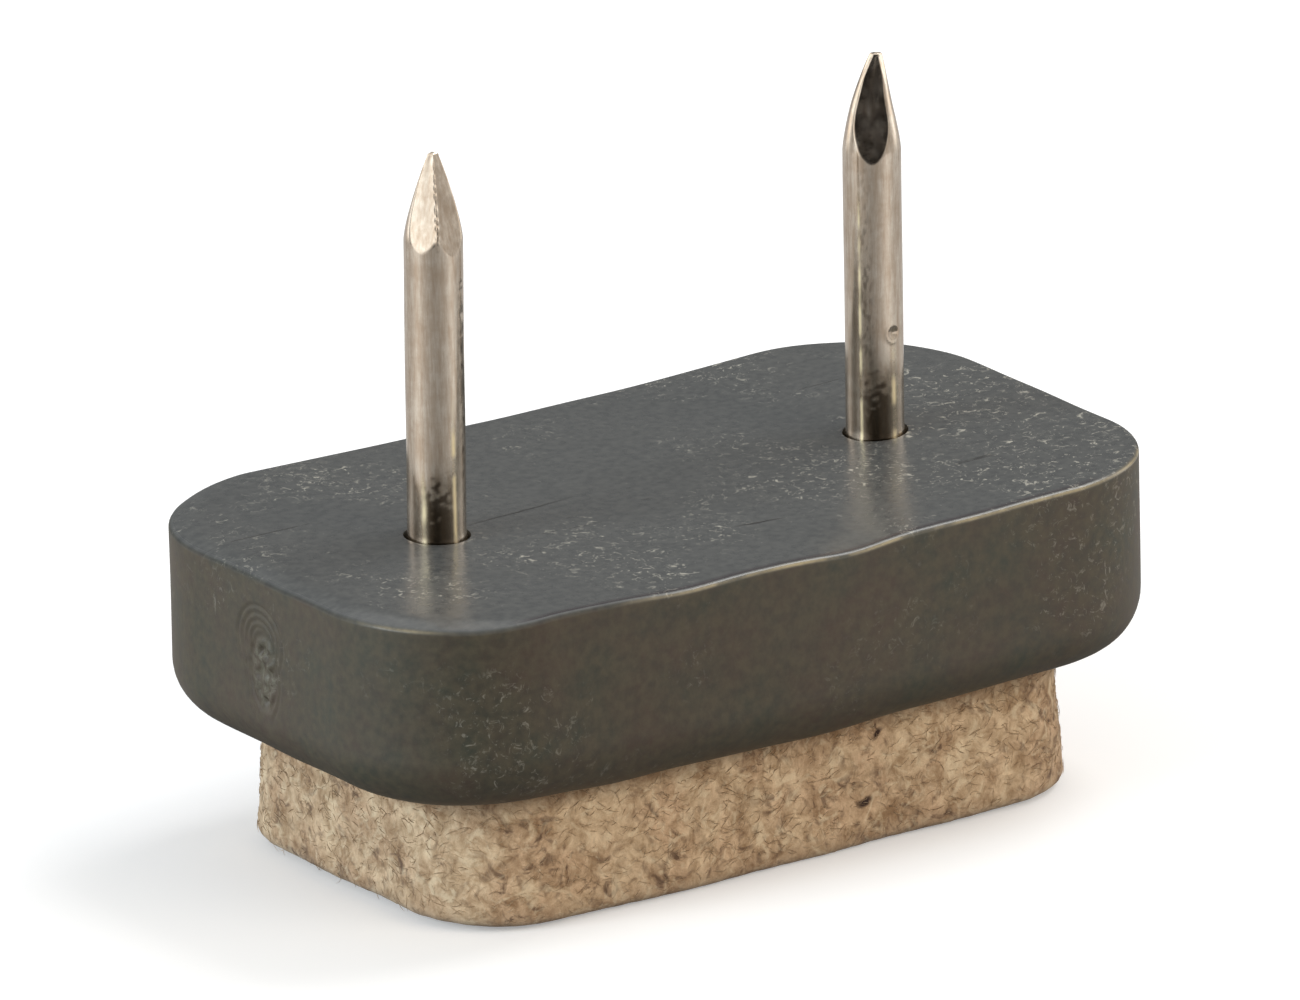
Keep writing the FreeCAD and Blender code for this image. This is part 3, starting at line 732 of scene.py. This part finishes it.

# %% [markdown]
# ## Nickel-plated steel
# The nails are drawn wire with a thin warm nickel plate. Metal shows its surroundings, so most of its look is the
# light round it. What the surface adds is the drawing: faint lines along the wire that stretch each reflection, and
# patches where the plate is duller. Painted on top are a few bright streaks of reflected light, a little rougher than
# the rest, and a painted dark reflection of the foot low on each wire. Drawing lines are finer than the picture can
# show, so they are drawn about a tenth of a millimetre apart.

# %% Steel material
def steel_material():
    """Metal with streaks along Z: noise on coordinates squeezed along the wire drives colour, roughness and bump. The
    mesh's numbers add a painted dark reflection at the foot of each wire and painted bright streaks.
    """
    material, tree, place = start_material("nickel_plated_steel")
    apart, along = per_mm(1 / 7), per_mm(10 / 7)
    squeeze = add(tree, "ShaderNodeMapping", {"Vector": place, "Scale": (apart, apart, along)}).outputs["Vector"]
    drawn = add(tree, "ShaderNodeTexNoise",
                {"Vector": squeeze, "Scale": 1.0, "Detail": 3.0, "Roughness": 0.6}).outputs["Fac"]
    cloud = add(tree, "ShaderNodeTexNoise",
                {"Vector": place, "Scale": per_mm(0.9), "Detail": 5.0, "Roughness": 0.65}).outputs["Fac"]
    both = add(tree, "ShaderNodeMath", {0: drawn, 1: cloud}, operation="MULTIPLY").outputs[0]
    share = add(tree, "ShaderNodeMapRange", {"Value": both, "From Min": 0.15, "From Max": 0.36}).outputs["Result"]
    colour = add(tree, "ShaderNodeMix",
                 {0: share, 6: light("#c0ad98"), 7: light("#dacdbc")}, data_type="RGBA").outputs[2]
    # A painted dark reflection of the foot and its shade at the foot of each wire, together with dark pits.
    dark_reflection_and_pits = add(tree, "ShaderNodeAttribute", attribute_name="dark_reflection_and_pits").outputs["Fac"]
    darkened_by_reflection_and_pits = add(tree, "ShaderNodeMix", {0: dark_reflection_and_pits, 6: colour, 7: light("#4a3b2a")}, data_type="RGBA").outputs[2]
    # Painted highlights: bright streaks of reflected light up each wire, which are also made a little rougher.
    streak_highlight = add(tree, "ShaderNodeAttribute", attribute_name="streak_highlight").outputs["Fac"]
    streak_highlit = add(tree, "ShaderNodeMix",
                       {0: streak_highlight, 6: darkened_by_reflection_and_pits, 7: light("#fff0c8")}, data_type="RGBA").outputs[2]
    rough = add(tree, "ShaderNodeMapRange",
                {"Value": cloud, "From Min": 0.3, "From Max": 0.7, "To Min": 0.14,
                 "To Max": 0.26}).outputs["Result"]
    highlight_mixed = add(tree, "ShaderNodeMath", {0: streak_highlight, 1: 0.3, 2: rough}, operation="MULTIPLY_ADD").outputs[0]
    bump = add(tree, "ShaderNodeBump", {"Height": both, "Strength": 0.07, "Distance": 0.03 * MM}).outputs["Normal"]
    shader = add(tree, "ShaderNodeBsdfPrincipled",
                 {"Base Color": streak_highlit, "Roughness": highlight_mixed, "Normal": bump, "Metallic": 1.0})
    add(tree, "ShaderNodeOutputMaterial", {"Surface": shader.outputs[0]})
    return material


steel = steel_material()
for nail in nails:
    nail.data.materials.append(steel)
print("steel nodes:", len(steel.node_tree.nodes))

# %% [markdown]
# ## Pressed wool felt
# Pressed felt is many wools pressed together: tan and grey-brown mottled at about three quarters of a millimetre,
# dark hairs crowded in patches, pale hairs across it, and a dirtier band at the edge that meets the floor. A brown
# painted shade lies just under the foot. It has no shine, only a soft rim of light in its fuzz, which is the sheen.
# The loose hairs are a separate piece in nearly the same colours.

# %% Felt materials
def felt_material():
    """Mottle from two sizes of noise, dark hair marks that crowd in patches and pale ones from warped noise, two dark
    burrs, a dirty lower edge and a brown painted shade just under the foot's overhang."""
    material, tree, place = start_material("pressed_wool_felt")
    mottle = add(tree, "ShaderNodeTexNoise",
                 {"Vector": place, "Scale": per_mm(0.7), "Detail": 5.0, "Roughness": 0.7,
                  "Distortion": 0.5}).outputs["Fac"]
    share = add(tree, "ShaderNodeMapRange", {"Value": mottle, "From Min": 0.34, "From Max": 0.66}).outputs["Result"]
    batch = add(tree, "ShaderNodeTexNoise", {"Vector": place, "Scale": per_mm(1.8), "Detail": 3.0}).outputs["Fac"]
    blend = add(tree, "ShaderNodeMapRange", {"Value": batch, "From Min": 0.4, "From Max": 0.6}).outputs["Result"]
    dark_wool = add(tree, "ShaderNodeMix",
                    {0: blend, 6: light("#927353"), 7: light("#a48766")}, data_type="RGBA").outputs[2]
    pale_wool = add(tree, "ShaderNodeMix",
                    {0: blend, 6: light("#d8b997"), 7: light("#e6cca9")}, data_type="RGBA").outputs[2]
    wool = add(tree, "ShaderNodeMix", {0: share, 6: dark_wool, 7: pale_wool}, data_type="RGBA").outputs[2]
    dark_hair = add(tree, "ShaderNodeTexNoise",
                    {"Vector": place, "Scale": per_mm(0.75), "Detail": 3.0, "Roughness": 0.55,
                     "Distortion": 1.4}).outputs["Fac"]
    dark_marks = add(tree, "ShaderNodeMapRange",
                     {"Value": dark_hair, "From Min": 0.52, "From Max": 0.68, "To Max": 0.88}).outputs["Result"]
    crowded = add(tree, "ShaderNodeMapRange",
                  {"Value": batch, "From Min": 0.6, "From Max": 0.42, "To Min": 0.3}).outputs["Result"]
    dark_here = add(tree, "ShaderNodeMath", {0: dark_marks, 1: crowded}, operation="MULTIPLY").outputs[0]
    darker = add(tree, "ShaderNodeMix", {0: dark_here, 6: wool, 7: light("#5c4432")}, data_type="RGBA").outputs[2]
    pale_hair = add(tree, "ShaderNodeTexNoise",
                    {"Vector": place, "Scale": per_mm(0.9), "Detail": 3.0, "Roughness": 0.55,
                     "Distortion": 1.6}).outputs["Fac"]
    pale_marks = add(tree, "ShaderNodeMapRange",
                     {"Value": pale_hair, "From Min": 0.53, "From Max": 0.67, "To Max": 0.52}).outputs["Result"]
    paler = add(tree, "ShaderNodeMix", {0: pale_marks, 6: darker, 7: light("#ead7b6")}, data_type="RGBA").outputs[2]
    ragged = wobbly(tree, place, 0.35, 0.3)
    first = spot(tree, ragged, (3.75, -8.05, 1.75), (0, -20, 0), (0.3, 1.0, 0.17))
    second = spot(tree, ragged, (4.35, -8.05, 4.25), (0, -40, 0), (0.28, 1.0, 0.11))
    burrs = add(tree, "ShaderNodeMath", {0: first, 1: second}, operation="MAXIMUM").outputs[0]
    burred = add(tree, "ShaderNodeMix", {0: burrs, 6: paler, 7: light("#3a261c")}, data_type="RGBA").outputs[2]
    low = add(tree, "ShaderNodeSeparateXYZ", {0: place}).outputs["Z"]
    dirt_edge = add(tree, "ShaderNodeMapRange",
                    {"Value": low, "From Min": 0.0, "From Max": 0.9 * MM, "To Min": 0.6,
                     "To Max": 0.0}).outputs["Result"]
    dirt = add(tree, "ShaderNodeMath", {0: dirt_edge, 1: mottle}, operation="MULTIPLY").outputs[0]
    soiled = add(tree, "ShaderNodeMix", {0: dirt, 6: burred, 7: light("#5d5048")}, data_type="RGBA").outputs[2]
    # Painted shade: a brown band on the felt just under the foot, where the foot's overhang shades it.
    painted_shade_under_foot = add(tree, "ShaderNodeMapRange",
                     {"Value": low, "From Min": 4.2 * MM, "From Max": 5.1 * MM, "To Max": 0.75}).outputs["Result"]
    colour = add(tree, "ShaderNodeMix",
                 {0: painted_shade_under_foot, 6: soiled, 7: light("#6b4c33")}, data_type="RGBA").outputs[2]
    fuzz = add(tree, "ShaderNodeTexNoise",
               {"Vector": place, "Scale": per_mm(0.16), "Detail": 4.0, "Roughness": 0.7}).outputs["Fac"]
    bump = add(tree, "ShaderNodeBump", {"Height": fuzz, "Strength": 0.45, "Distance": 0.15 * MM}).outputs["Normal"]
    rough = add(tree, "ShaderNodeMapRange", {"Value": fuzz, "To Min": 0.85, "To Max": 1.0}).outputs["Result"]
    shader = add(tree, "ShaderNodeBsdfPrincipled", {
        "Base Color": colour, "Roughness": rough, "Normal": bump, "Specular IOR Level": 0.2, "Sheen Weight": 0.15,
        "Sheen Roughness": 0.6})
    add(tree, "ShaderNodeOutputMaterial", {"Surface": shader.outputs[0]})
    return material


def hair_material():
    """Each hair's tone picks a colour between dark brown and pale cream, with a little change along it."""
    material, tree, place = start_material("wool_hairs")
    tone = add(tree, "ShaderNodeAttribute", attribute_name="tone").outputs["Fac"]
    wave = add(tree, "ShaderNodeTexNoise", {"Vector": place, "Scale": per_mm(0.3)}).outputs["Fac"]
    mixed = add(tree, "ShaderNodeMath", {0: wave, 1: 0.3, 2: tone}, operation="MULTIPLY_ADD").outputs[0]
    share = add(tree, "ShaderNodeMapRange", {"Value": mixed, "From Min": 0.15, "From Max": 1.15}).outputs["Result"]
    colour = add(tree, "ShaderNodeMix",
                 {0: share, 6: light("#856a4e"), 7: light("#cbb394")}, data_type="RGBA").outputs[2]
    shader = add(tree, "ShaderNodeBsdfPrincipled",
                 {"Base Color": colour, "Roughness": 0.8, "Specular IOR Level": 0.25})
    add(tree, "ShaderNodeOutputMaterial", {"Surface": shader.outputs[0]})
    return material


felt.data.materials.append(felt_material())
fibres.data.materials.append(hair_material())
print("felt nodes:", len(felt.data.materials[0].node_tree.nodes))

# %% [markdown]
# ## The studio
# A white sweep and soft light suit a small product. The floor is white and keeps a soft shadow. One soft lamp stands
# high on the right and draws the thin light along the near top edge, one stands low on the left and lights the end
# and the left nail's flat, and a warm one in front lights the near side and the felt. Bright metal in an all-white
# room looks like paper, so grey cards stand round the set, out of the picture: only reflections see them.

# %% Floor and cards
def plain_sheet(name, corners, faces, material):
    """A stage object from points in metres and faces."""
    mesh = bpy.data.meshes.new(name)
    mesh.from_pydata(np.asarray(corners).tolist(), [], np.asarray(faces).tolist())
    sheet = bpy.data.objects.new(name, mesh)
    bpy.context.scene.collection.objects.link(sheet)
    mesh.materials.append(material)
    return sheet


def floor_material():
    """A matt white with a faint glow for the camera; every other ray sees a grey floor, so the glide isn't lit from
    below as it would be on snow."""
    material, tree, _ = start_material("white_floor")
    seen = add(tree, "ShaderNodeLightPath").outputs["Is Camera Ray"]
    tint = add(tree, "ShaderNodeMix",
               {0: seen, 6: light("#9a9a9a"), 7: light("#ececec")}, data_type="RGBA").outputs[2]
    glow = add(tree, "ShaderNodeMapRange", {"Value": seen, "To Max": 0.28}).outputs["Result"]
    shader = add(tree, "ShaderNodeBsdfPrincipled", {"Base Color": tint, "Roughness": 0.9, "Specular IOR Level": 0.0,
                                                     "Emission Color": (1, 1, 1, 1), "Emission Strength": glow})
    add(tree, "ShaderNodeOutputMaterial", {"Surface": shader.outputs[0]})
    return material


floor_z = float(felt_shaped[:, 2].min()) * MM - 2e-5
corners = 3.0 * np.array([[-1, -1, 0], [1, -1, 0], [1, 1, 0], [-1, 1, 0]]) + [0, 0, floor_z]
plain_sheet("studio_floor", corners, [[0, 1, 2, 3]], floor_material())


def card_material():
    """A card that glows as brightly as its own points say."""
    material, tree, _ = start_material("grey_card")
    tone = add(tree, "ShaderNodeAttribute", attribute_name="tone").outputs["Fac"]
    glow = add(tree, "ShaderNodeEmission", {"Color": light("#ffffff"), "Strength": tone})
    add(tree, "ShaderNodeOutputMaterial", {"Surface": glow.outputs[0]})
    return material


def ring_of_cards(name, rows, tones):
    """A ring of cards that only reflections see, from rows of points round the set and a brightness for each."""
    ring = plain_sheet(name, rows.reshape(-1, 3), grid_faces(*rows.shape[:2]), card_material())
    glow = np.concatenate(tones).astype(np.float32)
    ring.data.attributes.new("tone", "FLOAT", "POINT").data.foreach_set("value", glow)
    ring.visible_camera = ring.visible_diffuse = ring.visible_shadow = ring.visible_transmission = False
    return ring


def upright_tone(side):
    """Dark towards the camera, a bright card on the left of it, a grey one on the right, white at both sides, dim
    behind."""
    dark = np.exp(-((side / 18) ** 4))
    front = (0.22 + 0.36 * bell(side, 0, 62)) * (1 - dark)
    return front + 0.9 * bell(side, -52, 15) + 0.22 * bell(side, 86, 15) + 1.9 * bell(np.abs(side), 116, 16)


def floor_tone(side):
    """A grey sheet on the floor: darker in front, with a bright strip at each side, grey behind."""
    return 0.62 - 0.18 * bell(side, 0, 32) + 0.35 * bell(np.abs(side), 66, 19)


CARDS_AWAY, CARDS_LOW, CARDS_HIGH = 0.5, 0.005, 0.40
angle = np.radians(np.arange(0, 360, 3.0))
circle = np.stack([np.cos(angle), np.sin(angle)], -1)
side = round_angle(angle, 0)
far, near = upright_tone(side), floor_tone(side)
close = near * (1 - 0.75 * bell(side, 0, 42))
upright = lift(np.stack([CARDS_AWAY * circle] * 2), np.array([CARDS_LOW, CARDS_HIGH]))
cards = ring_of_cards("studio_cards", upright, [far, far])
reach = np.array([[0.026, 0.019], [0.07, 0.07], [0.15, 0.15], [0.22, 0.22], [CARDS_AWAY, CARDS_AWAY]])
flat = lift(circle * reach[:, None], floor_z + 1e-5)
ring_of_cards("floor_cards", flat, [close, near, near, far, far])
print("floor at", round(floor_z / MM, 3), "mm, cards", len(cards.data.polygons))

# %% World and lamps
world = bpy.data.worlds.new("white_studio")
bpy.context.scene.world = world
world.use_nodes = True
world.node_tree.nodes.clear()
sky = world.node_tree
path = add(sky, "ShaderNodeLightPath").outputs
seen = add(sky, "ShaderNodeMath",
           {0: path["Is Camera Ray"], 1: path["Is Glossy Ray"]}, operation="MAXIMUM").outputs[0]
seen = add(sky, "ShaderNodeMath", {0: seen, 1: path["Is Transmission Ray"]}, operation="MAXIMUM").outputs[0]
level = add(sky, "ShaderNodeMapRange", {"Value": seen, "To Min": 0.5, "To Max": 1.0}).outputs["Result"]
backdrop = add(sky, "ShaderNodeBackground", {"Color": (1, 1, 1, 1), "Strength": level})
add(sky, "ShaderNodeOutputWorld", {"Surface": backdrop.outputs[0]})


def soft_lamp(name, direction, away, size, power, tint):
    """A square soft lamp of one tint that faces the object's middle from a direction."""
    lamp = bpy.data.lights.new(name, "AREA")
    lamp.shape, lamp.size, lamp.energy, lamp.color = "SQUARE", size, power, light(tint)[:3]
    holder = bpy.data.objects.new(name, lamp)
    bpy.context.scene.collection.objects.link(holder)
    back = np.array(direction, float) / np.linalg.norm(direction)
    side = np.cross([0, 0, 1.0], back)
    side /= np.linalg.norm(side)
    place = np.eye(4)
    place[:3, 0], place[:3, 1], place[:3, 2] = side, np.cross(back, side), back
    place[:3, 3] = back * away + [0, 0, 0.01]
    holder.matrix_world = Matrix(place.tolist())
    print(name, "at", np.round(place[:3, 3], 3))
    return holder


soft_lamp("high_right_lamp", (0.53, 0.0, 0.85), 0.6, 0.3, 1.5, "#ffffff")
soft_lamp("low_left_lamp", (-0.97, 0.1, 0.33), 0.6, 0.3, 2.45, "#eff9ff")
soft_lamp("front_lamp", (0.38, -0.8, 0.36), 0.6, 0.4, 1.65, "#ffefd9")
bpy.context.scene.view_settings.view_transform = "Standard"
